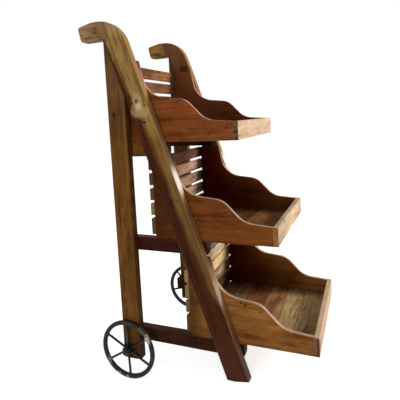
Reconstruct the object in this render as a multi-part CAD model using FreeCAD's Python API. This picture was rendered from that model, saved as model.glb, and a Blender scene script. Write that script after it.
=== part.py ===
"""Three-tier wooden flower cart: two side frames, three scalloped trays and two iron wheels.

The cart is drawn level first. There X runs across it, "forward" is the distance in front of the
posts' rear edges (the front of the cart faces -Y), and Z is the height above the posts' feet.
Then the whole cart is leaned forward until its wheels and its front feet stand on one floor.
"""
import FreeCAD, Part
import math
import os

Vector = FreeCAD.Vector

# ---- driving dimensions, in millimetres and degrees ----

# side frames
FRAME_WIDTH = 580.0          # over the outer faces of the two frames
FRAME_THICKNESS = 36.0       # posts, slanted legs and handles
POST_DEPTH = 77.0
POST_HEIGHT = 1251.0         # from the foot of a post to the underside of the handle
POST_TIP = 4.0               # what is left of the post's depth at its very top
LEG_ANGLE = 18.8             # between a slanted leg and its post
LEG_WIDTH = 82.0             # square to the leg's length
LEG_DROP = 10.5              # how far the leg's rear edge would reach below the posts
HEEL_WEAR_DEPTH = 30.0       # the foot's worn heel, along the floor
HEEL_WEAR_HEIGHT = 5.0
HEAD_HEIGHT = 72.0           # from the underside of the handle to the top of the leg's head
HEAD_RADIUS = 125.0          # the head's bend over the leg
EDGE_ROUND = 5.0             # the worn edges of legs and handles
POST_ROUND = 4.0

# handles
HANDLE_REACH = 101.0         # from the posts' rear edges back to the underside's end
HANDLE_RAKE = 13.0           # how much further back the top of the end lies
HANDLE_FALL = 13.0           # how far the top drops towards the end
JOINT_REACH = 15.0           # the glued joint behind the posts' rear edges, at its underside
JOINT_RAKE = 14.0            # how much further back the joint starts at the top

# rails
RAIL_HEIGHT = 52.0
RAIL_THICKNESS = 32.0
RAIL_TAIL = 6.0              # behind the posts
RAIL_NOSES = {"low": 9.0, "mid": 9.0, "top": -5.0}    # in front of the slanted legs
RAIL_NOSE_SLOPE = 5.0        # how far the rounded nose falls back at its corners

# trays
TRAY_COUNT = 3
LOW_TRAY_LEVEL = 119.0       # underside of the lowest tray
TOP_TRAY_ROOM = 25.0         # from where a further tray would come to the posts' tops
TRAY_DEPTH = 472.0
TRAY_BACK_ROOM = 7.0         # between a tray's back and the rail above
TRAY_FRONT_HEIGHT = 67.0
SIDE_THICKNESS = 16.0
SIDE_TOP_SHARE = 0.189       # of the depth: the level top behind the scallop
SIDE_EDGE_ROUND = 2.0
# the scallop's corners: share of the tray's depth, share of its rise, radius per rise
SCALLOP = ((0.745, 0.037, 0.362), (0.583, 0.366, 0.317), (0.254, 0.44, 0.412))
FRONT_THICKNESS = 18.0
PLANK_THICKNESS = 13.0
PLANK_SEAM = 1.5
PLANK_SHARES = (118.0, 95.0, 77.0, 72.0, 92.0)   # widths of the floor planks, rear to front
SLAT_COUNT = 5
SLAT_THICKNESS = 16.0
SLAT_GAP = 13.0
BOTTOM_SLAT_EXTRA = 17.0     # the bottom slat is this much wider
SLAT_RISE = 2.0              # daylight between the floor planks and the bottom slat
SLAT_DROP = 1.0              # from the sides' tops to the top slat
BOARD_ROUND = 1.5

# wheels
WHEEL_DIAMETER = 234.0
AXLE_FORWARD = 28.5
AXLE_HEIGHT = 44.5           # above the posts' feet
RIM_DEPTH = 17.0
RIM_WIDTH = 15.0
RIM_ROUND = 5.0
RIM_CLEARANCE = 6.0          # between the rim and the post
SPOKE_COUNT = 6
SPOKE_DIAMETER = 9.0
SPOKE_PHASES = {"left": 32.0, "right": 15.0}     # the first spoke, above straight forward
HUB_DIAMETER = 36.0
HUB_WAIST_DIAMETER = 30.0
HUB_LENGTH = 24.0
HUB_COLLAR = 5.0
AXLE_DIAMETER = 16.0
BORE_CLEARANCE = 0.05        # radial, between axle and hub
HUB_END_CLEARANCE = 0.4
PLATE_DEPTH = 54.0
PLATE_HEIGHT = 58.0
PLATE_THICKNESS = 4.0
PLATE_MARGIN = 4.0           # from the plate to the post's rear edge and foot
PLATE_SCREW_INSET = 8.0
WASHER_DIAMETER = 30.0
WASHER_THICKNESS = 2.0
NUT_WIDTH = 24.0             # across its flats
NUT_THICKNESS = 8.0
AXLE_TIP = 2.0               # axle beyond the nut

# screws and nails
SCREW_DIAMETER = 4.5
SCREW_HEAD_DIAMETER = 9.0
SCREW_HEAD_DEPTH = 4.0
SCREW_GRIP = 12.0            # how far a screw bites into the second piece
SCREW_SPREAD = 11.0          # two screws in a joint, each side of its middle
SIDE_SCREW_SHARES = (0.252, 0.506)   # of a tray's back: the screws from a leg into its side
NAIL_DIAMETER = 2.5
NAIL_HEAD_DIAMETER = 5.0
NAIL_HEAD_DEPTH = 1.0
NAIL_LENGTH = 38.0

# ---- sizes worked out from them ----

HALF_WIDTH = FRAME_WIDTH / 2
INNER_FACE = HALF_WIDTH - FRAME_THICKNESS
HEAD_TOP = POST_HEIGHT + HEAD_HEIGHT
LEG_SLOPE = math.tan(math.radians(LEG_ANGLE))
LEG_REACH = LEG_WIDTH / math.cos(math.radians(LEG_ANGLE))
WHEEL_RADIUS = WHEEL_DIAMETER / 2
TRAY_PITCH = (POST_HEIGHT - LOW_TRAY_LEVEL - TOP_TRAY_ROOM) / TRAY_COUNT
TRAY_BACK_HEIGHT = TRAY_PITCH - RAIL_HEIGHT - TRAY_BACK_ROOM
SLATTED_HEIGHT = TRAY_BACK_HEIGHT - PLANK_THICKNESS - SLAT_RISE - SLAT_DROP
SLAT_HEIGHT = (SLATTED_HEIGHT - BOTTOM_SLAT_EXTRA - SLAT_GAP * (SLAT_COUNT - 1)) / SLAT_COUNT
TIERS = ("low", "mid", "top")[:TRAY_COUNT]
SIDES = {"left": -1.0, "right": 1.0}


def leg_back(height):
    """Forward place of the slanted leg's rear edge at a height."""
    return POST_TIP + LEG_SLOPE * (POST_HEIGHT - height)


def leg_front(height):
    return leg_back(height) + LEG_REACH


def tray_level(tier):
    return LOW_TRAY_LEVEL + TIERS.index(tier) * TRAY_PITCH


def tray_back(tier):
    """A tray's side lines up with the leg's rear edge at the top of its back."""
    return leg_back(tray_level(tier) + TRAY_BACK_HEIGHT)


# ---- drawing helpers ----

def corner_round(before, corner, after, radius):
    """Start, middle and end of the arc that rounds a corner."""
    to_before = (before - corner).normalize()
    to_after = (after - corner).normalize()
    half_angle = to_before.getAngle(to_after) / 2
    start = corner + to_before * (radius / math.tan(half_angle))
    end = corner + to_after * (radius / math.tan(half_angle))
    bisector = (to_before + to_after).normalize()
    centre = corner + bisector * (radius / math.sin(half_angle))
    return start, centre - bisector * radius, end


def side_outline(corners, x):
    """Closed wire at one x through corners of (forward, height) or (forward, height, radius)."""
    points = [Vector(x, -corner[0], corner[1]) for corner in corners]
    edges = []
    first = last = None
    for i, corner in enumerate(corners):
        start = end = points[i]
        arc = None
        if len(corner) == 3:
            start, middle, end = corner_round(points[i - 1], points[i],
                                              points[(i + 1) % len(points)], corner[2])
            arc = Part.Arc(start, middle, end).toShape()
        if last is None:
            first = start
        elif (start - last).Length > 1e-6:
            edges.append(Part.makeLine(last, start))
        if arc:
            edges.append(arc)
        last = end
    edges.append(Part.makeLine(last, first))
    return Part.Wire(edges)


def side_panel(corners, x_from, x_to):
    """A flat piece that stands in the side plane, between two x."""
    face = Part.Face(side_outline(corners, x_from))
    return face.extrude(Vector(x_to - x_from, 0, 0))


def block(x_from, x_to, back, front, bottom, top):
    """A square-cut board, given by its forward places and heights."""
    corner = Vector(min(x_from, x_to), -front, bottom)
    return Part.makeBox(abs(x_to - x_from), front - back, top - bottom, corner)


def rod(x_from, x_to, forward, height, radius):
    """A round bar that lies along x."""
    length = x_to - x_from
    return Part.makeCylinder(radius, abs(length), Vector(x_from, -forward, height),
                             Vector(math.copysign(1.0, length), 0, 0))


def rounded(solid, radius, keep):
    """Round the edges that keep() picks."""
    edges = [edge for edge in solid.Edges if keep(edge)]
    return solid.makeFillet(radius, edges) if edges else solid


def edge_ends(edge):
    return [vertex.Point for vertex in edge.Vertexes]


def lies_at_x(edge, x):
    return all(abs(point.x - x) < 1e-4 for point in edge_ends(edge))


def runs_along_x(edge):
    ends = edge_ends(edge)
    return abs(abs(ends[0].x - ends[-1].x) - (ends[0] - ends[-1]).Length) < 1e-4


# ---- side frames ----

def make_post(sign):
    outer, inner = sign * HALF_WIDTH, sign * INNER_FACE
    meeting = POST_HEIGHT - (POST_DEPTH - POST_TIP) / LEG_SLOPE
    corners = [(0, 0), (POST_DEPTH, 0), (POST_DEPTH, meeting), (POST_TIP, POST_HEIGHT),
               (0, POST_HEIGHT)]
    post = side_panel(corners, outer, inner)

    def worn(edge):
        ends = edge_ends(edge)
        upright = abs(ends[0].y - ends[-1].y) < 1e-4 and abs(ends[0].x - ends[-1].x) < 1e-4
        at_foot = all(point.z < 1e-4 for point in ends)
        return (upright and abs(ends[0].z - ends[-1].z) > POST_DEPTH) or at_foot

    return rounded(post, POST_ROUND, worn)


def leg_corners():
    """The slanted leg and its head, drawn down past the floor."""
    end = -LEG_DROP - LEG_WIDTH
    shoulder = leg_front(HEAD_TOP)
    head_length = shoulder + JOINT_REACH + JOINT_RAKE
    half_corner = math.radians(90 + LEG_ANGLE) / 2
    bend = min(HEAD_RADIUS, 0.98 * head_length * math.tan(half_corner))
    return [(leg_back(end), end), (leg_front(end), end), (shoulder, HEAD_TOP, bend),
            (-JOINT_REACH - JOINT_RAKE, HEAD_TOP), (-JOINT_REACH, POST_HEIGHT),
            (POST_TIP, POST_HEIGHT)]


def make_leg(sign):
    outer, inner = sign * HALF_WIDTH, sign * INNER_FACE
    leg = side_panel(leg_corners(), outer, inner)

    def worn(edge):
        ends = edge_ends(edge)
        at_joint = all(-point.y < POST_TIP + 1e-4 for point in ends)
        on_top = all(abs(point.z - HEAD_TOP) < 1e-4 for point in ends)
        on_back = all(abs(-point.y - leg_back(point.z)) < 1e-4 for point in ends)
        flat = lies_at_x(edge, outer) or (lies_at_x(edge, inner) and not on_back)
        return flat and (on_top or not at_joint) and max(point.z for point in ends) > 0

    return rounded(leg, EDGE_ROUND, worn)


def make_handle(sign):
    outer, inner = sign * HALF_WIDTH, sign * INNER_FACE
    corners = [(-JOINT_REACH, POST_HEIGHT), (-JOINT_REACH - JOINT_RAKE, HEAD_TOP),
               (-HANDLE_REACH / 2, HEAD_TOP, 3 * EDGE_ROUND),
               (-HANDLE_REACH - HANDLE_RAKE, HEAD_TOP - HANDLE_FALL, 2 * EDGE_ROUND),
               (-HANDLE_REACH, POST_HEIGHT, 3.6 * EDGE_ROUND)]
    handle = side_panel(corners, outer, inner)

    def at_joint(edge):
        return all(-point.y > -JOINT_REACH - JOINT_RAKE - 1e-4 for point in edge_ends(edge))

    return rounded(handle, EDGE_ROUND,
                   lambda edge: not runs_along_x(edge) and not at_joint(edge))


def make_rail(sign, tier):
    """A rail along the inner faces of post and leg, with a rounded nose in front."""
    outer, inner = sign * INNER_FACE, sign * (INNER_FACE - RAIL_THICKNESS)
    top = tray_level(tier)
    bottom = top - RAIL_HEIGHT
    middle = (top + bottom) / 2
    nose = leg_front(middle) + RAIL_NOSES[tier]
    low, high = (Vector(outer, RAIL_NOSE_SLOPE - nose, level) for level in (bottom, top))
    tail_high, tail_low = (Vector(outer, RAIL_TAIL, level) for level in (top, bottom))
    edges = [Part.makeLine(tail_low, low), Part.Arc(low, Vector(outer, -nose, middle), high).toShape(),
             Part.makeLine(high, tail_high), Part.makeLine(tail_high, tail_low)]
    return Part.Face(Part.Wire(edges)).extrude(Vector(inner - outer, 0, 0))


# ---- trays ----

def side_corners():
    """The scalloped side, from the tray's back and underside, as straight runs joined by arcs."""
    end = TRAY_DEPTH - FRONT_THICKNESS
    rise = TRAY_BACK_HEIGHT - TRAY_FRONT_HEIGHT
    scallop = [(along * TRAY_DEPTH, TRAY_FRONT_HEIGHT + up * rise, bend * rise)
               for along, up, bend in SCALLOP]
    return [(0, 0), (end, 0), (end, TRAY_FRONT_HEIGHT), *scallop,
            (SIDE_TOP_SHARE * TRAY_DEPTH, TRAY_BACK_HEIGHT, 2 * SIDE_EDGE_ROUND),
            (0, TRAY_BACK_HEIGHT)]


def make_tray_side(sign, tier):
    outer, inner = sign * INNER_FACE, sign * (INNER_FACE - SIDE_THICKNESS)
    back, level = tray_back(tier), tray_level(tier)
    corners = [(back + c[0], level + c[1], *c[2:]) for c in side_corners()]
    side = side_panel(corners, outer, inner)

    def on_scallop(edge):
        flat = lies_at_x(edge, outer) or lies_at_x(edge, inner)
        return flat and all(point.z > level + TRAY_FRONT_HEIGHT - 1e-3
                            and -point.y > back + 1e-3 for point in edge_ends(edge))

    return rounded(side, SIDE_EDGE_ROUND, on_scallop)


def make_front_board(tier):
    front, level = tray_back(tier) + TRAY_DEPTH, tray_level(tier)
    board = block(-INNER_FACE, INNER_FACE, front - FRONT_THICKNESS, front,
                  level, level + TRAY_FRONT_HEIGHT)
    return rounded(board, BOARD_ROUND,
                   lambda edge: all(-point.y > front - 1e-4 for point in edge_ends(edge)))


def plank_edges():
    """Rear and front of each floor plank, from the tray's back."""
    room = TRAY_DEPTH - FRONT_THICKNESS
    seams = PLANK_SEAM * (len(PLANK_SHARES) - 1)
    scale = (room - seams) / sum(PLANK_SHARES)
    start = 0.0
    for share in PLANK_SHARES:
        yield start, start + share * scale
        start += share * scale + PLANK_SEAM


def make_planks(tier):
    back, level = tray_back(tier), tray_level(tier)
    half = INNER_FACE - SIDE_THICKNESS
    return [block(-half, half, back + rear, back + front, level, level + PLANK_THICKNESS)
            for rear, front in plank_edges()]


def slat_edges():
    """Bottom and top of each back slat, from the tray's underside."""
    bottom = PLANK_THICKNESS + SLAT_RISE
    height = SLAT_HEIGHT + BOTTOM_SLAT_EXTRA
    for _ in range(SLAT_COUNT):
        yield bottom, bottom + height
        bottom += height + SLAT_GAP
        height = SLAT_HEIGHT


def make_slats(tier):
    back, level = tray_back(tier), tray_level(tier)
    slats = []
    for bottom, top in slat_edges():
        slat = block(-INNER_FACE, INNER_FACE, back - SLAT_THICKNESS, back,
                     level + bottom, level + top)
        slats.append(rounded(slat, BOARD_ROUND, runs_along_x))
    return slats


# ---- wheels ----

def make_axle(sign):
    """A plate on the post's foot with a stub axle welded to it."""
    face = HALF_WIDTH
    plate = block(sign * face, sign * (face + PLATE_THICKNESS), PLATE_MARGIN,
                  PLATE_MARGIN + PLATE_DEPTH, PLATE_MARGIN, PLATE_MARGIN + PLATE_HEIGHT)
    end = axle_end()
    stub = rod(sign * (face + PLATE_THICKNESS / 2), sign * end, AXLE_FORWARD, AXLE_HEIGHT,
               AXLE_DIAMETER / 2)
    return plate.fuse(stub).removeSplitter()


def hub_start():
    return HALF_WIDTH + PLATE_THICKNESS + HUB_END_CLEARANCE


def washer_start():
    return hub_start() + HUB_LENGTH + HUB_END_CLEARANCE


def axle_end():
    return washer_start() + WASHER_THICKNESS + NUT_THICKNESS + AXLE_TIP


def make_wheel(side):
    """Rim, spokes and hub in one iron casting."""
    sign = SIDES[side]
    rim_middle = HALF_WIDTH + RIM_CLEARANCE + RIM_WIDTH / 2
    outer, inner = WHEEL_RADIUS, WHEEL_RADIUS - RIM_DEPTH
    low_x, high_x = rim_middle - RIM_WIDTH / 2, rim_middle + RIM_WIDTH / 2
    section = Part.makePolygon([Vector(low_x, 0, inner), Vector(high_x, 0, inner),
                                Vector(high_x, 0, outer), Vector(low_x, 0, outer),
                                Vector(low_x, 0, inner)])
    rim = Part.Face(section).revolve(Vector(0, 0, 0), Vector(1, 0, 0), 360)
    rim = rounded(rim, RIM_ROUND, lambda edge: len(edge.Vertexes) == 1)
    start, end = hub_start(), hub_start() + HUB_LENGTH
    bore, collar, waist = (AXLE_DIAMETER / 2 + BORE_CLEARANCE, HUB_DIAMETER / 2,
                           HUB_WAIST_DIAMETER / 2)
    profile = [(start, bore), (end, bore), (end, collar), (end - HUB_COLLAR, collar),
               (end - HUB_COLLAR, waist), (start + HUB_COLLAR, waist),
               (start + HUB_COLLAR, collar), (start, collar), (start, bore)]
    hub = Part.Face(Part.makePolygon([Vector(x, 0, r) for x, r in profile]))
    hub = hub.revolve(Vector(0, 0, 0), Vector(1, 0, 0), 360)
    wheel = rim
    for i in range(SPOKE_COUNT):
        angle = math.radians(SPOKE_PHASES[side] + 360.0 * i / SPOKE_COUNT)
        direction = Vector(0, -math.cos(angle), math.sin(angle))
        spoke_start = Vector(rim_middle, 0, 0) + direction * (bore + collar) * 0.5
        length = WHEEL_RADIUS - RIM_DEPTH / 2 - (bore + collar) * 0.5
        wheel = wheel.fuse(Part.makeCylinder(SPOKE_DIAMETER / 2, length, spoke_start, direction))
    wheel = wheel.fuse(hub)
    if sign < 0:
        wheel = wheel.mirror(Vector(0, 0, 0), Vector(1, 0, 0))
    wheel.translate(Vector(0, -AXLE_FORWARD, AXLE_HEIGHT))
    return wheel


def make_washer(sign):
    start = sign * washer_start()
    end = start + sign * WASHER_THICKNESS
    disc = rod(start, end, AXLE_FORWARD, AXLE_HEIGHT, WASHER_DIAMETER / 2)
    return disc.cut(rod(start, end, AXLE_FORWARD, AXLE_HEIGHT, AXLE_DIAMETER / 2))


def make_nut(sign):
    start = sign * (washer_start() + WASHER_THICKNESS)
    end = start + sign * NUT_THICKNESS
    corner_radius = NUT_WIDTH / 2 / math.cos(math.radians(30))
    corners = [(AXLE_FORWARD + corner_radius * math.cos(math.radians(60 * i)),
                AXLE_HEIGHT + corner_radius * math.sin(math.radians(60 * i))) for i in range(6)]
    nut = side_panel(corners, start, end)
    return nut.cut(rod(start, end, AXLE_FORWARD, AXLE_HEIGHT, AXLE_DIAMETER / 2))


# ---- screws and nails ----

def screw(x_head, x_tip, forward, height):
    """A countersunk screw along x, its head flush at x_head."""
    step = math.copysign(1.0, x_tip - x_head)
    shank = rod(x_head, x_tip, forward, height, SCREW_DIAMETER / 2)
    head = Part.makeCone(SCREW_HEAD_DIAMETER / 2, SCREW_DIAMETER / 2, SCREW_HEAD_DEPTH,
                         Vector(x_head, -forward, height), Vector(step, 0, 0))
    return shank.fuse(head).removeSplitter()


def nail(start, direction):
    """A flat-headed nail, its head let in flush at start."""
    shank = Part.makeCylinder(NAIL_DIAMETER / 2, NAIL_LENGTH, start, direction)
    head = Part.makeCylinder(NAIL_HEAD_DIAMETER / 2, NAIL_HEAD_DEPTH, start, direction)
    return shank.fuse(head).removeSplitter()


def make_frame_screws():
    """Rails to posts and legs from inside, legs to tray sides from outside, and plate screws."""
    solids = []
    for sign in SIDES.values():
        rail_face = sign * (INNER_FACE - RAIL_THICKNESS)
        leg_face = sign * HALF_WIDTH
        for tier in TIERS:
            level = tray_level(tier)
            middle = level - RAIL_HEIGHT / 2
            for forward in (POST_DEPTH / 2, (leg_back(middle) + leg_front(middle)) / 2):
                for offset in (-SCREW_SPREAD, SCREW_SPREAD):
                    solids.append(screw(rail_face, sign * (INNER_FACE + SCREW_GRIP),
                                        forward + offset, middle + offset))
            for share in SIDE_SCREW_SHARES:
                height = level + share * TRAY_BACK_HEIGHT
                solids.append(screw(leg_face, sign * (INNER_FACE - SCREW_GRIP),
                                    (leg_back(height) + leg_front(height)) / 2, height))
        plate_face = sign * (HALF_WIDTH + PLATE_THICKNESS)
        low = PLATE_MARGIN + PLATE_SCREW_INSET
        for forward in (low, PLATE_MARGIN + PLATE_DEPTH - PLATE_SCREW_INSET):
            for height in (low, PLATE_MARGIN + PLATE_HEIGHT - PLATE_SCREW_INSET):
                solids.append(screw(plate_face, sign * (HALF_WIDTH - 2 * SCREW_GRIP),
                                    forward, height))
    return solids


def make_nails():
    """Slats, front boards and floor planks are nailed to the tray sides."""
    solids = []
    side_middle = INNER_FACE - SIDE_THICKNESS / 2
    for tier in TIERS:
        back, level = tray_back(tier), tray_level(tier)
        front = back + TRAY_DEPTH
        for sign in SIDES.values():
            x = sign * side_middle
            for bottom, top in slat_edges():
                solids.append(nail(Vector(x, SLAT_THICKNESS - back, level + (bottom + top) / 2),
                                   Vector(0, -1, 0)))
            for share in (0.25, 0.75):
                solids.append(nail(Vector(x, -front, level + share * TRAY_FRONT_HEIGHT),
                                   Vector(0, 1, 0)))
            for rear, fore in plank_edges():
                solids.append(nail(Vector(sign * INNER_FACE, -back - (rear + fore) / 2,
                                          level + PLANK_THICKNESS / 2), Vector(-sign, 0, 0)))
    return solids


# ---- the cart ----

def make_level_cart():
    """Every piece in its place on the level cart, under its node's name."""
    pieces = {}
    for side, sign in SIDES.items():
        pieces[f"{side}_post"] = [make_post(sign)]
        pieces[f"{side}_leg"] = [make_leg(sign)]
        pieces[f"{side}_handle"] = [make_handle(sign)]
        for tier in TIERS:
            pieces[f"{side}_{tier}_rail"] = [make_rail(sign, tier)]
            pieces[f"{tier}_tray_{side}_side"] = [make_tray_side(sign, tier)]
        pieces[f"{side}_axle"] = [make_axle(sign)]
        pieces[f"{side}_wheel"] = [make_wheel(side)]
    for tier in TIERS:
        pieces[f"{tier}_tray_front_board"] = [make_front_board(tier)]
        for i, plank in enumerate(make_planks(tier), 1):
            pieces[f"{tier}_tray_floor_plank_{i}"] = [plank]
        for i, slat in enumerate(make_slats(tier), 1):
            pieces[f"{tier}_tray_back_slat_{i}"] = [slat]
    fixings = {"frame_screws": make_frame_screws(), "tray_nails": make_nails()}
    for solids in pieces.values():
        solids[:] = [drilled(solid, fixings) for solid in solids]
    pieces["hub_washers"] = [make_washer(sign) for sign in SIDES.values()]
    pieces["wheel_nuts"] = [make_nut(sign) for sign in SIDES.values()]
    pieces.update(fixings)
    return pieces


def drilled(solid, fixings):
    """Cut the holes for the screws and nails that go into a piece."""
    box = solid.BoundBox
    tools = [tool for group in fixings.values() for tool in group
             if box.intersect(tool.BoundBox) and solid.distToShape(tool)[0] < 1e-6]
    return solid.cut(tools) if tools else solid


def heel_place():
    """Where the rear edge of a foot would be, ahead of the axle and below it."""
    return leg_back(-LEG_DROP) - AXLE_FORWARD, AXLE_HEIGHT + LEG_DROP


def lean_angle():
    """The lean that puts the wheels and the rear edges of the feet on one floor."""
    ahead, below = heel_place()
    return math.asin(WHEEL_RADIUS / math.hypot(ahead, below)) - math.atan2(below, ahead)


def stand(solid):
    """Lean a piece with the whole cart and set it on the floor."""
    leaned = solid.copy()
    leaned.rotate(Vector(0, -AXLE_FORWARD, AXLE_HEIGHT), Vector(1, 0, 0),
                  math.degrees(lean_angle()))
    leaned.translate(Vector(0, 0, WHEEL_RADIUS - AXLE_HEIGHT))
    return leaned


def saw_off_at_floor(solid):
    """Cut a standing leg off at the floor, and its worn heel a little higher."""
    box = solid.BoundBox
    below = Part.makeBox(box.XLength + 2, box.YLength + 2, abs(box.ZMin) + 1,
                         Vector(box.XMin - 1, box.YMin - 1, box.ZMin - 1))
    heel = -AXLE_FORWARD - math.sqrt(math.hypot(*heel_place()) ** 2 - WHEEL_RADIUS ** 2)
    wedge = [(heel - HEEL_WEAR_DEPTH, 0), (heel + HEEL_WEAR_DEPTH, 0),
             (heel + HEEL_WEAR_DEPTH, 2 * HEEL_WEAR_HEIGHT)]
    outline = Part.makePolygon([Vector(box.XMin - 1, *point) for point in wedge + wedge[:1]])
    wear = Part.Face(outline).extrude(Vector(box.XLength + 2, 0, 0))
    return solid.cut([below, wear])


def main():
    pieces = {name: [stand(solid) for solid in solids]
              for name, solids in make_level_cart().items()}
    for side in SIDES:
        pieces[f"{side}_leg"] = [saw_off_at_floor(solid) for solid in pieces[f"{side}_leg"]]
    everything = Part.makeCompound([solid for solids in pieces.values() for solid in solids])
    middle = everything.optimalBoundingBox(False).Center.y
    os.makedirs("parts", exist_ok=True)
    for name, solids in pieces.items():
        for solid in solids:
            solid.translate(Vector(0, -middle, 0))
        shape = solids[0] if len(solids) == 1 else Part.makeCompound(solids)
        shape.exportStep(f"parts/{name}.step")
        print(name, len(shape.Solids), round(shape.Volume / 1000, 1), "cm3")
    box = everything.optimalBoundingBox(False)
    print("size", [round(v, 1) for v in (box.XLength, box.YLength, box.ZLength)],
          "lean", round(math.degrees(lean_angle()), 2), "shift", round(-middle, 3))


main()
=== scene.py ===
"""Looks of the flower cart stand: varnished old wood, black iron wheels, a pale floor.

The cart leans forward, so most textures are laid out in its own level space: x across the cart,
y to the back, z along the posts. There, "forward" is the distance in front of the posts' rear
edges and "height" the height above their feet. Lengths are metres, colours are sRGB hex strings.
"""
import math
import random

import bpy
from mathutils import Euler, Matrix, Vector


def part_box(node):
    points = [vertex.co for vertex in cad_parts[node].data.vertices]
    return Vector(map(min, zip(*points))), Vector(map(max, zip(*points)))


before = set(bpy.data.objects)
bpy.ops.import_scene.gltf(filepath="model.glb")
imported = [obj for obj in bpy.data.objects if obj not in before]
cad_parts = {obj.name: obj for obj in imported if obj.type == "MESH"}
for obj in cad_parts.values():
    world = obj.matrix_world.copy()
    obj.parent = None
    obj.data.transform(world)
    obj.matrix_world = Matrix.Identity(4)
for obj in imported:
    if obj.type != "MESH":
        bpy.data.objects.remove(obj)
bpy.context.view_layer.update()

LEAN = math.radians(8.9018)                # the cart's forward lean
POST_FOOT = Vector((0.0, 0.3467, 0.0774))  # where the posts' rear edges meet their feet
LEG_TILT = math.radians(18.8)              # between a slanted leg and its post

TIERS = ("low", "mid", "top")
SIDES = ("left", "right")


# ---- shader building ----

# how well the true and the softened normal agree on a flat face, and on a worn edge
FLAT_AGREES, EDGE_AGREES = 0.995, 0.88


def colour(value):
    """An sRGB hex string as a linear colour; sockets and colours pass through."""
    if not isinstance(value, str):
        return value
    channels = [int(value[i:i + 2], 16) / 255 for i in (0, 2, 4)]
    linear = [c / 12.92 if c <= 0.04045 else ((c + 0.055) / 1.055) ** 2.4 for c in channels]
    return (*linear, 1.0)


class Shader:
    """The node tree of a material or a world. Inputs may be sockets, numbers or tuples."""

    def __init__(self, owner):
        self.owner = owner
        owner.use_nodes = True
        self.tree = owner.node_tree
        self.tree.nodes.clear()

    def add(self, kind, settings=None, **inputs):
        """Adds a node. Its inputs are given by name, with underscores for spaces."""
        node = self.tree.nodes.new("ShaderNode" + kind)
        for key, value in (settings or {}).items():
            setattr(node, key, value)
        for key, value in inputs.items():
            self.plug(node.inputs[key.replace("_", " ")], value)
        return node

    def plug(self, socket, value):
        """Links a socket to an input, or sets a number or a tuple on it."""
        if isinstance(value, bpy.types.NodeSocket):
            self.tree.links.new(value, socket)
        else:
            socket.default_value = value

    def calc(self, operation, *values):
        """One step of arithmetic."""
        node = self.add("Math", {"operation": operation})
        for socket, value in zip(node.inputs, values):
            self.plug(socket, value)
        return node.outputs[0]

    def mix(self, amount, first, second, blend="MIX"):
        """Mixes two colours."""
        node = self.add("Mix", {"data_type": "RGBA", "blend_type": blend})
        self.plug(node.inputs[0], amount)
        self.plug(node.inputs[6], colour(first))
        self.plug(node.inputs[7], colour(second))
        return node.outputs[2]

    def ramp(self, value, low, high, to_low=0.0, to_high=1.0):
        """Maps a value between two limits smoothly, and holds it outside them."""
        return self.add("MapRange", {"interpolation_type": "SMOOTHSTEP"}, Value=value,
                        From_Min=low, From_Max=high, To_Min=to_low, To_Max=to_high).outputs["Result"]

    def between(self, value, low, high, fade):
        """1 between two limits, fading outside them."""
        rise = self.ramp(value, low - fade, low)
        return self.calc("MULTIPLY", rise, self.ramp(value, high + fade, high))

    def tint(self, base, value, start, full, strength, tone):
        """Turns a colour towards a tone as a value goes from start to full."""
        return self.mix(self.ramp(value, start, full, 0.0, strength), base, tone)

    def paint(self, base, tone, *masks):
        """Paints a tone over the base, as strongly as its masks and strengths give when multiplied."""
        amount = masks[0]
        for mask in masks[1:]:
            amount = self.calc("MULTIPLY", amount, mask)
        return self.mix(amount, base, tone)

    def place(self, vector, turn=(0, 0, 0), shift=(0, 0, 0), scale=(1, 1, 1)):
        """Turns, shifts and scales a vector."""
        return self.add("Mapping", Vector=vector, Rotation=tuple(turn), Location=tuple(shift),
                        Scale=tuple(scale)).outputs[0]

    def noise(self, vector, scale, detail=3, roughness=0.5):
        """Noise with its own scale along each axis."""
        return self.add("TexNoise", Vector=self.place(vector, scale=scale), Scale=1.0,
                        Detail=detail, Roughness=roughness).outputs["Fac"]

    def stray(self, vector, scale, reach):
        """Noise that strays to both sides of zero, by half its reach at most."""
        return self.calc("MULTIPLY_ADD", self.noise(vector, scale), reach, -reach / 2)

    def own_space(self):
        """The piece's own coordinates, which are the whole cart's at rest."""
        return self.add("TexCoord").outputs["Object"]

    def level_space(self):
        """The cart's own level space."""
        origin = POST_FOOT.copy()
        origin.rotate(Euler((-LEAN, 0, 0)))
        return self.place(self.own_space(), turn=(-LEAN, 0, 0), shift=-origin)

    def normals(self, radius):
        """The normal softened at edges, the same in level space, and how near a worn edge is."""
        soft = self.add("Bevel", {"samples": 4}, Radius=radius).outputs[0]
        sharp = self.add("NewGeometry").outputs["Normal"]
        dot = self.add("VectorMath", {"operation": "DOT_PRODUCT"})
        self.plug(dot.inputs[0], soft)
        self.plug(dot.inputs[1], sharp)
        edge = self.ramp(dot.outputs["Value"], FLAT_AGREES, EDGE_AGREES)
        return soft, self.place(soft, turn=(-LEAN, 0, 0)), edge

    def seen_directly(self):
        """1 for rays that show the background as it is: straight on, off gloss or through glass."""
        path = self.add("LightPath").outputs
        seen = path["Is Camera Ray"]
        for ray in ("Is Glossy Ray", "Is Transmission Ray"):
            seen = self.calc("MAXIMUM", seen, path[ray])
        return seen

    def finish(self, **sockets):
        """Ends a material with a principled shader."""
        shader = self.add("BsdfPrincipled", **sockets)
        self.add("OutputMaterial", Surface=shader.outputs[0])
        return self.owner


def new_shader(name):
    return Shader(bpy.data.materials.new(name))


def dress(node, material):
    """Gives all of a node's material slots one material."""
    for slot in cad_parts[node].material_slots:
        slot.material = material


# ---- wood grain ----

# turns that bring the grain from level space to the texture's x axis
GRAIN = {
    "across": [(0, 0, 0)],
    "forward": [(0, 0, math.radians(-90))],
    "up": [(0, math.radians(90), 0)],
    "leg": [(LEG_TILT, 0, 0), (0, math.radians(90), 0)],
}
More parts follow.
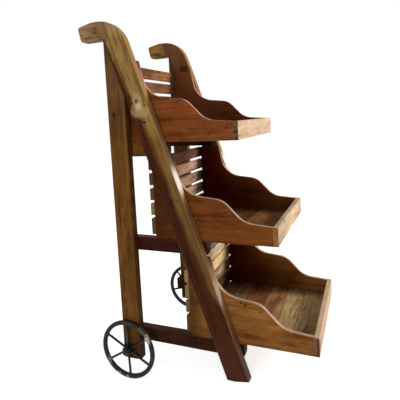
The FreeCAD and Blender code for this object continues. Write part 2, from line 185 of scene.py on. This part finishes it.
# the grain's noises: scales along and across it, detail, roughness
STREAKS = ((2.2, 60, 60), 4, 0.6)
LINES = ((1.6, 190, 190), 3, 0.6)
FIBRES = ((12, 520, 520), 3, 0.7)
BLOTCHES = ((5, 16, 16), 4, 0.6)
MOTTLES = ((17, 42, 42), 3, 0.6)
CLOUDS = ((2, 6, 6), 2, 0.5)
PORES = ((30, 900, 900), 1, 0.5)
# where in their noises clouds and pores begin and are full, and their strength
CLOUDS_SHOW, PORES_SHOW = (0.4, 0.62, 0.7), (0.66, 0.74, 0.4)
# growth rings: their spacing, and the scale and reach of the noise that they stray by
RING_SPACING, RING_NOISE, RING_STRAY = 0.016, (1.3, 10, 10), 0.09
TRUNK_SLOPES = (("Y", 0.05), ("Z", 0.03))  # how askew the trunk's heart lies to the board
# how much each counts in the light and dark of the grain; the mottle's is a share of the blotches'
STREAK_SHARE, RING_SHARE, MOTTLE_SHARE, FIBRE_SHARE = 1.5, 0.06, 0.6, 0.8
# brightness and warmth, against the wood's own tone
DARK_GRAIN, PALE_GRAIN, PORE_SHADE = (0.45, 1.1), (1.5, 0.92), (0.15, 1.1)
WOOD_EDGE = 0.0022                         # radius of a worn edge
WEAR_NOISE, WEAR_PATCHES = (38, 38, 12), (0.40, 0.66)  # what breaks up the wear, and its limits
# depth and strength of the relief, and what each pattern adds to it
WOOD_RELIEF, WOOD_RELIEF_STRENGTH = 0.0012, 0.35
FIBRE_RELIEF, STREAK_RELIEF, RING_RELIEF = 0.4, 0.8, 0.05
# how much streaks and rubbed edges add to the roughness, and what balances the streaks
ROUGH_STREAKS, ROUGH_RUBBED, ROUGH_BALANCE = 0.25, 0.2, 0.12


def shade(value, factor, warmth):
    """A colour made darker or lighter, and redder or paler."""
    red, green, blue, _ = colour(value)
    return (red * factor * warmth, green * factor, blue * factor / warmth, 1.0)


def growth_rings(shader, along, centred):
    """Wavering rings round the trunk's heart, from -1 to 1."""
    wander = shader.stray(along, RING_NOISE, RING_STRAY)
    axes = shader.add("SeparateXYZ", Vector=centred).outputs
    squares = []
    for axis, slope in TRUNK_SLOPES:
        away = shader.calc("MULTIPLY_ADD", axes["X"], slope, axes[axis])
        squares.append(shader.calc("MULTIPLY", away, away))
    ring = shader.calc("SQRT", shader.calc("ADD", *squares))
    ring = shader.calc("ADD", ring, wander)
    return shader.calc("SINE", shader.calc("MULTIPLY", ring, 2 * math.pi / RING_SPACING))


def wood(node, grain, tone, hue=None, roughness=0.45, shine=0.03, wear=0.3, worn="9c744e",
         contrast=1.0, blotches=2.4, lines=1.0, details=None):
    """Varnished timber for one node. details(shader, level, normal, base) paints marks on it."""
    shader = new_shader(node + "_wood")
    draw = random.Random(node)
    level = shader.level_space()
    middle = sum(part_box(node), Vector()) / 2 - POST_FOOT
    middle.rotate(Euler((-LEAN, 0, 0)))
    along = level
    for turn in GRAIN[grain]:
        along = shader.place(along, turn=turn)
        middle.rotate(Euler(turn))
    pith = Vector((0, draw.uniform(0.01, 0.05), draw.uniform(-0.06, 0.06)))
    centred = shader.place(along, shift=pith - middle)
    along = shader.place(along, shift=[draw.uniform(-9, 9) for _ in range(3)])

    ring = growth_rings(shader, along, centred)
    streak = shader.noise(along, *STREAKS)
    fibre = shader.noise(along, *FIBRES)
    value = shader.calc("MULTIPLY_ADD", shader.calc("ADD", streak, -0.5), STREAK_SHARE * contrast, 0.5)
    value = shader.calc("MULTIPLY_ADD", ring, RING_SHARE * contrast, value)
    for pattern, share in ((shader.noise(along, *BLOTCHES), blotches),
                           (shader.noise(along, *MOTTLES), blotches * MOTTLE_SHARE),
                           (shader.noise(along, *LINES), lines),
                           (fibre, FIBRE_SHARE)):
        above = shader.calc("ADD", pattern, -0.5)
        value = shader.calc("MULTIPLY_ADD", above, share * contrast, value)
    base = shader.mix(shader.ramp(value, 0.0, 0.5), shade(tone, *DARK_GRAIN), tone)
    base = shader.mix(shader.ramp(value, 0.5, 1.0), base, shade(tone, *PALE_GRAIN))
    if hue:
        base = shader.tint(base, shader.noise(along, *CLOUDS), *CLOUDS_SHOW, hue)
    base = shader.tint(base, shader.noise(along, *PORES), *PORES_SHOW, shade(tone, *PORE_SHADE))

    soft, normal, edge = shader.normals(WOOD_EDGE)
    rub = shader.ramp(shader.noise(level, WEAR_NOISE), *WEAR_PATCHES)
    rub = shader.calc("MULTIPLY", shader.calc("MULTIPLY", rub, edge), wear)
    base = shader.mix(rub, base, worn)
    if details:
        base = details(shader, level, normal, base)

    rough = shader.calc("MULTIPLY_ADD", streak, ROUGH_STREAKS, roughness - ROUGH_BALANCE)
    rough = shader.calc("MULTIPLY_ADD", rub, ROUGH_RUBBED, rough)
    relief = shader.calc("MULTIPLY", streak, STREAK_RELIEF)
    relief = shader.calc("MULTIPLY_ADD", fibre, FIBRE_RELIEF, relief)
    relief = shader.calc("MULTIPLY_ADD", ring, RING_RELIEF, relief)
    bump = shader.add("Bump", Strength=WOOD_RELIEF_STRENGTH, Distance=WOOD_RELIEF, Height=relief,
                      Normal=soft)
    dress(node, shader.finish(Base_Color=base, Roughness=rough, Specular_IOR_Level=shine,
                              Normal=bump.outputs[0]))


# ---- marks, painted shade and painted highlights on the wood ----

def facing(shader, normal, axis, low, high):
    """How much a surface faces along an axis, from low to high."""
    part = shader.add("SeparateXYZ", Vector=normal).outputs[axis]
    return shader.ramp(part, low, high)


def edge_faces(shader, normal):
    """1 on the faces that look forward, back, up or down, 0 on those that look sideways."""
    part = shader.add("SeparateXYZ", Vector=normal).outputs["X"]
    return shader.ramp(shader.calc("ABSOLUTE", part), *SIDEWAYS)


def end_faces(shader, normal):
    """1 on the ends of a board that lies across the cart."""
    return shader.calc("SUBTRACT", 1.0, edge_faces(shader, normal))


def measure(shader, level):
    """Forward distance and height on the level cart."""
    axes = shader.add("SeparateXYZ", Vector=level).outputs
    return shader.calc("MULTIPLY", axes["Y"], -1.0), axes["Z"]


def spot(shader, level, forward, height, width, tall):
    """A ragged patch on a side face, given by its place and half its size on the level cart."""
    centre = shader.place(level, shift=(0, forward, -height))
    flat = shader.place(centre, scale=(0, 1 / width, 1 / tall))
    ragged = shader.calc("ADD", shader.noise(level, SPOT_NOISE), -0.5)
    away = shader.add("VectorMath", {"operation": "LENGTH"}, Vector=flat).outputs["Value"]
    away = shader.calc("MULTIPLY_ADD", ragged, SPOT_RAGGED, away)
    return shader.ramp(away, 1 + SPOT_FADE, 1 - SPOT_FADE)


def paint_spots(shader, level, base, spots):
    """Paints spots, each with its own strength and tone."""
    for forward, height, width, tall, strength, tone in spots:
        mark = spot(shader, level, forward, height, width, tall)
        base = shader.paint(base, tone, mark, strength)
    return base


def leg_rear_shade(shader, level, forward, height):
    """How strongly the painted shade along a leg's rear edge, a dark band that widens downwards, covers
    it.
    """
    rear = shader.calc("MULTIPLY_ADD", height, -math.tan(LEG_TILT), LEG_REAR)
    share = shader.calc("DIVIDE", shader.calc("SUBTRACT", forward, rear), LEG_REACH)
    ragged = shader.noise(level, REAR_SHADE_NOISE, detail=4)
    share = shader.calc("ADD", share, -REAR_SHADE_STRAY / 2)
    share = shader.calc("MULTIPLY_ADD", ragged, REAR_SHADE_STRAY, share)
    reach = 0.0
    for heights_and_shares in REAR_SHADE_REACH:
        reach = shader.calc("ADD", reach, shader.ramp(height, *heights_and_shares))
    dark_band = shader.ramp(shader.calc("SUBTRACT", share, reach), *REAR_SHADE_FADE)
    return shader.calc("MULTIPLY", dark_band, shader.ramp(height, *REAR_SHADE_TOP))


def leg_details(side):
    """A leg's painted shade (a darker lower half and foot, and a dark band along its rear edge), and
    painted highlights on its front.
    """
    inward = 1 if side == "left" else -1

    def details(shader, level, normal, base):
        forward, height = measure(shader, level)
        base = shader.tint(base, height, *LEG_HEAD)
        upper = shader.between(height, *UPPER_BAND)
        base = shader.paint(base, UPPER_BAND_TONE, upper, UPPER_BAND_STRENGTH)
        # painted shade: the leg's lower half darker
        base = shader.tint(base, height, *LEG_LOWER_SHADE)
        base = shader.mix(shader.between(height, *DIM_BAND), base, DIM_BAND_SHARE, blend="MULTIPLY")
        # painted shade: a dark band along the leg's rear edge, widening downwards
        lengthwise = shader.place(level, turn=(LEG_TILT, 0, 0))
        uneven = shader.noise(lengthwise, *REAR_SHADE_STREAKS)
        shaded_tone = shader.mix(shader.ramp(uneven, *REAR_SHADE_PATCHES), *REAR_SHADE_TONES)
        base = shader.mix(leg_rear_shade(shader, level, forward, height), base, shaded_tone)
        # painted shade: darker again towards the foot
        base = shader.tint(base, height, *LEG_FOOT_SHADE)
        base = shader.paint(base, HANDLE_JOINT_TONE, shader.between(height, *HANDLE_JOINT),
                            shader.ramp(forward, *HANDLE_JOINT_DEPTH))

        inner = facing(shader, normal, "X", 0.5 * inward, 0.8 * inward)
        base = shader.paint(base, LEG_INNER_TONE, inner, LEG_INNER_STRENGTH)
        front = facing(shader, normal, "Y", -0.35, -0.8)
        pale = shader.ramp(shader.noise(level, LEG_FRONT_NOISE), *LEG_FRONT_PATCHES)
        base = shader.paint(base, LEG_FRONT_TONE, front, pale)
        # painted sheen: a greyish-pink highlight on the leg's front near the foot
        base = shader.paint(base, LEG_FRONT_FOOT_SHEEN_TONE, front, shader.ramp(height, *LEG_FRONT_FOOT_SHEEN))
        # painted highlights on the leg's front, where light falls between the trays
        for low, high, tone in FRONT_HIGHLIGHTS:
            sheen_and_wear = shader.between(height, low, high, FRONT_HIGHLIGHT_FADE)
            base = shader.paint(base, tone, front, sheen_and_wear)
        return paint_spots(shader, level, base, LEG_MARKS[side])
    return details


def post_details(shader, level, normal, base):
    """Greyer towards the top, painted shade towards the foot, and darker at two knots."""
    _, height = measure(shader, level)
    base = shader.tint(base, height, *POST_TOP)
    # painted shade: darker towards the foot
    base = shader.tint(base, height, *POST_FOOT_SHADE)
    return paint_spots(shader, level, base, POST_MARKS)


def side_details(tier, side):
    """Pale top edges on a tray's side, partly wear and partly painted highlight, and painted shade at its
    rear end.
    """
    name = f"{tier}_{side}"
    near, far, strength, tone = SIDE_SHADES.get(name, SIDE_SHADES[side])

    def details(shader, level, normal, base):
        forward, _ = measure(shader, level)
        depth = shader.calc("SUBTRACT", forward, REAR_ENDS[tier])
        ragged = shader.calc("ADD", depth, shader.stray(level, SHADE_NOISE, SHADE_STRAY))
        # painted shade towards the rear end (on the top right side, painted light)
        base = shader.tint(base, ragged, far, near, strength, tone)
        base = paint_spots(shader, level, base, SIDE_MARKS.get(name, ()))
        # pale top edges: partly wear, partly painted highlight
        sheen_and_wear = shader.ramp(shader.noise(level, PALE_EDGE_NOISE), *PALE_EDGE_PATCHES)
        return shader.paint(base, PALE_EDGE_TONE, edge_faces(shader, normal), sheen_and_wear,
                            shader.ramp(depth, *PALE_EDGES_FROM))
    return details


def board_details(tier):
    """A front board's darker ends."""
    def details(shader, level, normal, base):
        darkening = shader.ramp(shader.noise(level, BOARD_END_NOISE), *BOARD_END_PATCHES)
        return shader.paint(base, BOARD_ENDS[tier], end_faces(shader, normal), darkening)
    return details


def corner_details(darkening, axis, low, high, end_tone=None):
    """Grime and painted shade in a tray's corners, on a slat's or plank's face inside it, and a slat's
    darker ends.
    """
    start, strength, tone = darkening

    def details(shader, level, normal, base):
        across = shader.calc("ABSOLUTE", shader.add("SeparateXYZ", Vector=level).outputs["X"])
        ragged = shader.calc("ADD", across, shader.stray(level, CORNER_DARK_NOISE, CORNER_DARK_STRAY))
        # grime and painted shade towards the tray's ends
        amount = shader.ramp(ragged, start, CORNER_DARK_FULL, 0.0, strength)
        base = shader.paint(base, tone, amount, facing(shader, normal, axis, low, high))
        if end_tone:
            base = shader.paint(base, end_tone, end_faces(shader, normal), SLAT_END_STRENGTH)
        return base
    return details


def rail_details(tier):
    """A rail's top face, painted lighter as lit from above, and painted shadow on the top rails' front
    ends.
    """
    def details(shader, level, normal, base):
        # painted light: the top face lighter, as lit from above
        up = facing(shader, normal, "Z", 0.4, 0.8)
        base = shader.paint(base, LIT_RAIL_TOPS[tier], up, LIT_RAIL_TOP_STRENGTH)
        if tier == "top":
            forward, _ = measure(shader, level)
            # painted shadow under the top tray over the rail's front end
            base = shader.tint(base, forward, *TOP_RAIL_FRONT_SHADOW)
        return base
    return details


# ---- places and colours of the marks, the painted shade and the painted highlights ----

# Noises are given by their scales across, forward and up, and patches by where they begin and are
# full in their noise, with the strengths there. Strays are how far an edge wanders in all.
SPOT_NOISE = (70, 70, 70)
SPOT_RAGGED, SPOT_FADE = 1.1, 0.4          # in half sizes of the spot
SIDEWAYS = (0.75, 0.35)                    # how much a side face looks sideways, and another face

# Legs and posts. Tints are the heights where they start and are full, their strength and tone.
# Marks are spots: forward, height, half width, half height, strength, tone.
LEG_REAR = 0.4299      # forward place of a leg's rear edge at the posts' feet
LEG_REACH = 0.0866     # a leg's width, measured level
LEG_HEAD = (1.24, 1.31, 0.4, "a68e70")
# painted shade on a leg's lower half and at its foot
LEG_LOWER_SHADE = (0.80, 0.58, 0.7, "43260c")
LEG_FOOT_SHADE = (0.25, 0.05, 0.5, "52301f")
LEG_INNER_TONE, LEG_INNER_STRENGTH = "784832", 0.8
LEG_FRONT_TONE, LEG_FRONT_NOISE = "9c7648", (30, 30, 5)
LEG_FRONT_PATCHES = (0.35, 0.65, 0.4, 0.95)
# a painted sheen on a leg's front near its foot, and the heights where it shows
LEG_FRONT_FOOT_SHEEN_TONE = "6e5248"
LEG_FRONT_FOOT_SHEEN = (0.24, 0.12, 0.0, 0.7)    # heights, and the foot tone's strengths there
# bands are the lowest and highest height and the fade beyond them
UPPER_BAND, UPPER_BAND_STRENGTH, UPPER_BAND_TONE = (1.06, 1.22, 0.06), 0.3, "6b4a2c"
DIM_BAND = (0.715, 0.85, 0.08)
DIM_BAND_SHARE = (0.52, 0.45, 0.42, 1.0)   # how much of its colour the leg keeps in this band
HANDLE_JOINT, HANDLE_JOINT_TONE = (1.25, 1.34, 0.02), "54301e"
HANDLE_JOINT_DEPTH = (0.045, -0.01, 0.0, 0.5)  # forward places, and the joint's strength there
# the heights between which the painted shade along a leg's rear edge widens, and the share of the leg's
# width that each adds
REAR_SHADE_REACH = ((1.27, 0.95, 0.02, 0.45), (0.90, 0.60, 0.0, 0.14), (0.40, 0.05, 0.0, 1.0))
REAR_SHADE_FADE = (0.2, -0.12)                  # past and short of its reach, in leg widths
REAR_SHADE_TOP = (1.29, 1.22, 0.0, 0.94)        # the heights where it fades out, and its strength
REAR_SHADE_NOISE, REAR_SHADE_STRAY = (16, 16, 6), 0.5
REAR_SHADE_STREAKS = ((70, 70, 7), 5, 0.7)      # scales, detail and roughness
REAR_SHADE_TONES, REAR_SHADE_PATCHES = ("280d05", "462010"), (0.35, 0.65)
# heights and tones of the painted highlights on a leg's front
FRONT_HIGHLIGHTS = ((0.70, 0.735, "ecdccc"), (0.28, 0.33, "a88c78"))
FRONT_HIGHLIGHT_FADE = 0.05
LEG_MARKS = {
    "left": ((0.142, 0.972, 0.034, 0.020, 0.55, "b89c68"), (0.133, 1.008, 0.019, 0.034, 0.7, "a89068"),
             (0.137, 0.996, 0.011, 0.014, 0.6, "c4b498"), (0.131, 1.014, 0.007, 0.009, 0.6, "64482a"),
             (0.190, 0.989, 0.005, 0.008, 0.9, "140c08"), (0.161, 0.935, 0.003, 0.004, 0.9, "140c08"),
             (0.270, 0.644, 0.003, 0.004, 0.9, "140c08")),
    "right": ((0.083, 1.183, 0.022, 0.017, 0.75, "2c1c1a"),),
}
POST_TOP = (0.75, 1.15, 0.35, "5a4636")
# painted shade at a post's foot
POST_FOOT_SHADE = (0.22, 0.08, 0.55, "341c0c")
POST_MARKS = ((0.028, 0.968, 0.007, 0.010, 0.8, "1c100a"), (0.040, 0.560, 0.006, 0.012, 0.4, "2a180c"))
HANDLE_TONES = {"left": "866845", "right": "946634"}

# Trays. Slats are listed from the bottom, planks from the rear.
REAR_ENDS = {"low": 0.2830, "mid": 0.1580, "top": 0.0325}  # forward places of the sides' rear ends
SIDE_TONES = {"low": "7c5024", "mid": "6a3a13", "top": "733d1a"}
SIDE_CONTRAST = {"low": 0.85, "mid": 0.65, "top": 0.8}
# painted shade towards a tray side's rear end (on the top right side a lighter tone, painted light): dark
# until this far from a tray's rear end, its own colour from there, strength, dark tone
SIDE_SHADES = {"left": (0.02, 0.15, 0.7, "2a0f05"), "top_left": (0.02, 0.12, 0.7, "2a0f05"),
               "right": (0.0, 0.42, 0.94, "460a01"), "top_right": (0.0, 0.42, 0.85, "8c5434")}
SHADE_NOISE, SHADE_STRAY = (10, 10, 10), 0.24
# the sides' pale edges, partly wear and partly painted highlight
PALE_EDGES_FROM = (0.085, 0.12)                # how far from the rear end the edges begin to be rubbed
PALE_EDGE_TONE, PALE_EDGE_NOISE = "c8a08c", (25, 25, 25)
PALE_EDGE_PATCHES = (0.25, 0.7, 0.55, 1.0)
SIDE_MARKS = {"top_left": ((0.463, 0.902, 0.004, 0.004, 0.9, "140c08"),),
              "low_left": ((0.487, 0.273, 0.005, 0.004, 0.8, "140c08"),
                           (0.502, 0.267, 0.006, 0.004, 0.8, "140c08"),
                           (0.556, 0.249, 0.004, 0.004, 0.8, "140c08"))}
BOARD_ENDS = {"low": "543220", "mid": "7c5426", "top": "42320e"}
BOARD_END_NOISE, BOARD_END_PATCHES = (60, 60, 60), (0.4, 0.6, 0.85, 1.0)
SLAT_TONES = {"low": ("6c5038", "ae9070", "dcb880", "e4c49c", "8c7458"),
              "mid": ("a88e68", "c2a27e", "aa8470", "aa7e66", "643f2e"),
              "top": ("6c4524", "6c4524", "6c4524", "7c5234", "8a5a38")}
SLAT_ENDS = {"low": ("4c3820", "5c4628", "745c38", "806036", "583a24"),
             "mid": ("382c20", "70603c", "503420", "48301e", "44281a"),
             "top": ("4a2e18",) * 5}
SLAT_END_STRENGTH = 0.9
PLANK_TONES = {"low": ("8a6a4a", "865434", "aa7c54", "b29262", "ac8c62"),
               "mid": ("64401e", "845c3e", "6c4424", "8a603c", "70492a")}
PLANK_TONES["top"] = PLANK_TONES["mid"]
# how far from the cart's middle the corners' grime and painted shade begin, their strength and tone
SLAT_GRIME_AND_SHADE = {"low": (0.08, 0.95, "120804"), "mid": (0.15, 0.95, "180806"),
              "top": (0.2, 0.3, "2c140a")}
PLANK_GRIME_AND_SHADE = (0.14, 0.8, "2c1208")
CORNER_DARK_FULL = 0.255                         # where it is full, just past the slats' ends
CORNER_DARK_NOISE, CORNER_DARK_STRAY = (14, 14, 14), 0.08

# Rails
# the right top rail's darker tone is painted shade
RAIL_TONES = {"low": "311809", "mid": "351506", "top": "5e3812", "right_top": "301208"}
# painted light: the rails' top faces lighter, as lit from above
LIT_RAIL_TOPS = {"low": "5a2c22", "mid": "5a2c22", "top": "744a22"}
LIT_RAIL_TOP_STRENGTH = 0.75
# painted shadow under the top tray on the top rails' front ends
TOP_RAIL_FRONT_SHADOW = (0.13, 0.2, 0.9, "1c0d06")  # forward places where it starts and is full


# ---- wood pieces ----

for side in SIDES:
    wood(f"{side}_leg", "leg", "a07c46", hue="7c5e26", roughness=0.3, wear=0.12,
         contrast=1.3, blotches=1.6, lines=1.1, details=leg_details(side))
    wood(f"{side}_post", "up", "653f1a", hue="543814", details=post_details)
    wood(f"{side}_handle", "forward", HANDLE_TONES[side], roughness=0.4, blotches=4.0, lines=0.8)
    for tier in TIERS:
        rail_tone = RAIL_TONES.get(f"{side}_{tier}", RAIL_TONES[tier])
        wood(f"{side}_{tier}_rail", "forward", rail_tone, shine=0.04, details=rail_details(tier))
        wood(f"{tier}_tray_{side}_side", "forward", SIDE_TONES[tier], contrast=SIDE_CONTRAST[tier],
             details=side_details(tier, side))
for tier in TIERS:
    wood(f"{tier}_tray_front_board", "across", "c5a583", roughness=0.5, wear=0.2, worn="d8c0a8",
         contrast=0.6, details=board_details(tier))
    for i in range(5):
        wood(f"{tier}_tray_back_slat_{i + 1}", "across", SLAT_TONES[tier][i], roughness=0.55,
             details=corner_details(SLAT_GRIME_AND_SHADE[tier], "Y", -0.3, -0.7, SLAT_ENDS[tier][i]))
        wood(f"{tier}_tray_floor_plank_{i + 1}", "across", PLANK_TONES[tier][i], roughness=0.55,
             lines=0.6, details=corner_details(PLANK_GRIME_AND_SHADE, "Z", 0.3, 0.7))


# ---- metal pieces ----

IRON_EDGE = 0.0012                         # radius of a worn edge
IRON_RELIEF, HEAD_RELIEF = 0.0008, 0.0005
METAL_RELIEF_STRENGTH = 0.3
IRON_GRIT = ((160, 160, 160), 4, 0.65)     # scales, detail and roughness
IRON_CLOUD, HEAD_GRIT = (22, 22, 22), (300, 300, 300)
IRON_ROUGHNESS, IRON_ROUGHNESS_SPREAD = 0.3, 0.3
IRON_SHINE, HEAD_SHINE, HEAD_ROUGHNESS = 0.2, 0.08, 0.5
# where in the noises rust and the pale spots begin and are full, with their strengths there
RUST_CLOUD, RUST_GRIT, PALE_SPOT_GRIT = (0.42, 0.68), (0.3, 0.6, 0.3, 1.0), (0.40, 0.56, 0.1)
EDGE_RUST = 0.35                           # strength of the rust along worn edges
HEAD_DIRT = (0.45, 0.65, 0.5, "140c07")    # the same for dirt on the heads, and its tone
WHEEL_IRON = ("0c0b0a", "2a2016", 0.6)     # paint, rust, and how much rust shows
FILLED_FROM = (0.284, 0.287)               # across the cart, where the filled heads begin
# spots on the left wheel: paint worn off at the first four, painted highlights along the rim's lower rear
# and bottom at the last three
WEAR_AND_SHEEN_SPOTS = ((0.120, 0.094, 0.011, 0.026, 1.0, "d4c8b8"), (0.098, 0.132, 0.016, 0.018, 0.6, "5c6450"),
              (0.030, 0.155, 0.030, 0.012, 0.5, "3c343c"), (0.030, 0.100, 0.006, 0.036, 0.5, "665a40"),
              (-0.060, -0.020, 0.009, 0.028, 0.8, "8c8688"), (-0.018, -0.057, 0.009, 0.006, 0.9, "b0aaa4"),
              (0.022, -0.064, 0.007, 0.005, 0.9, "b0aaa4"))


def iron(name, paint, rust, rust_amount, wear_and_sheen_spots=()):
    """Black painted iron with rust showing through, and pale spots: paint worn off at some, painted
    highlights at others.
    """
    shader = new_shader(name)
    place = shader.own_space()
    level = shader.level_space()
    soft, _, edge = shader.normals(IRON_EDGE)
    grit = shader.noise(place, *IRON_GRIT)
    cloud = shader.noise(place, IRON_CLOUD)
    amount = shader.calc("MULTIPLY", shader.ramp(cloud, *RUST_CLOUD), rust_amount)
    amount = shader.calc("MAXIMUM", amount, shader.calc("MULTIPLY", edge, EDGE_RUST))
    amount = shader.calc("MULTIPLY", amount, shader.ramp(grit, *RUST_GRIT))
    base = shader.mix(amount, paint, rust)
    # pale spots: worn paint at some, painted highlights at others
    for forward, height, width, tall, strength, tone in wear_and_sheen_spots:
        pale_spot = spot(shader, level, forward, height, width, tall)
        base = shader.paint(base, tone, pale_spot, shader.ramp(grit, *PALE_SPOT_GRIT, strength))
    rough = shader.calc("MULTIPLY_ADD", grit, IRON_ROUGHNESS_SPREAD, IRON_ROUGHNESS)
    bump = shader.add("Bump", Strength=METAL_RELIEF_STRENGTH, Distance=IRON_RELIEF, Height=grit,
                      Normal=soft)
    return shader.finish(Base_Color=base, Roughness=rough, Specular_IOR_Level=IRON_SHINE,
                         Normal=bump.outputs[0])


def fixings(name, steel, filler):
    """Steel heads, but wood-coloured filler over those in the frames' outer faces."""
    shader = new_shader(name)
    place = shader.own_space()
    across = shader.calc("ABSOLUTE", shader.add("SeparateXYZ", Vector=place).outputs["X"])
    grit = shader.noise(place, HEAD_GRIT)
    base = shader.mix(shader.ramp(across, *FILLED_FROM), steel, filler)
    base = shader.tint(base, grit, *HEAD_DIRT)
    bump = shader.add("Bump", Strength=METAL_RELIEF_STRENGTH, Distance=HEAD_RELIEF, Height=grit)
    return shader.finish(Base_Color=base, Roughness=HEAD_ROUGHNESS, Specular_IOR_Level=HEAD_SHINE,
                         Normal=bump.outputs[0])


black_iron = iron("wheel_iron", *WHEEL_IRON)
worn_and_sheen_iron = iron("worn_and_sheen_wheel_iron", *WHEEL_IRON, WEAR_AND_SHEEN_SPOTS)
bare_iron = iron("nut_iron", "2c2824", "4a3c2c", 0.8)
rusty_iron = iron("plate_iron", "180f08", "3c2412", 0.9)
for node, material in (("left_wheel", worn_and_sheen_iron), ("right_wheel", black_iron),
                       ("hub_washers", bare_iron), ("wheel_nuts", bare_iron),
                       ("left_axle", rusty_iron), ("right_axle", rusty_iron)):
    dress(node, material)
dress("frame_screws", fixings("screw_heads", "22160e", "2c150c"))
dress("tray_nails", fixings("nail_heads", "22160e", "22160e"))


# ---- floor, light and camera ----

WHITE = (1, 1, 1, 1)
FLOOR_REACH, FLOOR_NOISE = 60.0, (3, 3, 3)
FLOOR_TONES = ((0.78, 0.78, 0.78, 1), (0.82, 0.82, 0.82, 1))
FLOOR_GLOW = 0.76                          # brings the lit floor up to the background's white
WORLD_LIGHT, BACKGROUND = 0.42, 1.0        # the world's strength as light and as background
LAMP_SIZE = 1.6
LAMP_TARGET = Vector((0, 0, 0.7))
LAMPS = (("key", Vector((2.6, -3.7, 1.4)), 195), ("fill", Vector((-4.2, 0.0, 0.5)), 85))
CAMERA_PLACE = (-1.57495, -0.69986, 0.86866)
CAMERA_TURN = (88.7410, 11.1877, -67.1183)  # degrees about x, y and z


def make_floor():
    mesh = bpy.data.meshes.new("floor")
    corners = [(x * FLOOR_REACH, y * FLOOR_REACH, 0) for x, y in ((-1, -1), (1, -1), (1, 1), (-1, 1))]
    mesh.from_pydata(corners, [], [(0, 1, 2, 3)])
    floor = bpy.data.objects.new("floor", mesh)
    bpy.context.collection.objects.link(floor)
    shader = new_shader("floor_pale")
    tone = shader.mix(shader.noise(shader.own_space(), FLOOR_NOISE), *FLOOR_TONES)
    diffuse = shader.add("BsdfDiffuse", Color=tone)
    glow = shader.calc("MULTIPLY", shader.seen_directly(), FLOOR_GLOW)
    emission = shader.add("Emission", Color=WHITE, Strength=glow)
    both = shader.add("AddShader")
    shader.plug(both.inputs[0], diffuse.outputs[0])
    shader.plug(both.inputs[1], emission.outputs[0])
    shader.add("OutputMaterial", Surface=both.outputs[0])
    mesh.materials.append(shader.owner)


def make_world():
    world = bpy.data.worlds.new("studio")
    bpy.context.scene.world = world
    shader = Shader(world)
    strength = shader.add("MapRange", Value=shader.seen_directly(), To_Min=WORLD_LIGHT,
                          To_Max=BACKGROUND)
    background = shader.add("Background", Color=WHITE, Strength=strength.outputs[0])
    shader.add("OutputWorld", Surface=background.outputs[0])


def add_lamp(name, place, power):
    data = bpy.data.lights.new(name, "AREA")
    data.shape = "DISK"
    data.size = LAMP_SIZE
    data.energy = power
    lamp = bpy.data.objects.new(name, data)
    lamp.location = place
    lamp.rotation_euler = (LAMP_TARGET - place).to_track_quat("-Z", "Y").to_euler()
    bpy.context.collection.objects.link(lamp)


def make_camera():
    data = bpy.data.cameras.new("camera")
    data.lens = 36.004
    data.sensor_width = 36.0
    data.shift_y = -0.125
    data.clip_end = 200
    camera = bpy.data.objects.new("camera", data)
    camera.location = CAMERA_PLACE
    camera.rotation_euler = [math.radians(angle) for angle in CAMERA_TURN]
    bpy.context.collection.objects.link(camera)
    bpy.context.scene.camera = camera


make_floor()
make_world()
for name, place, power in LAMPS:
    add_lamp(name, place, power)
make_camera()
bpy.context.scene.view_settings.view_transform = "Standard"
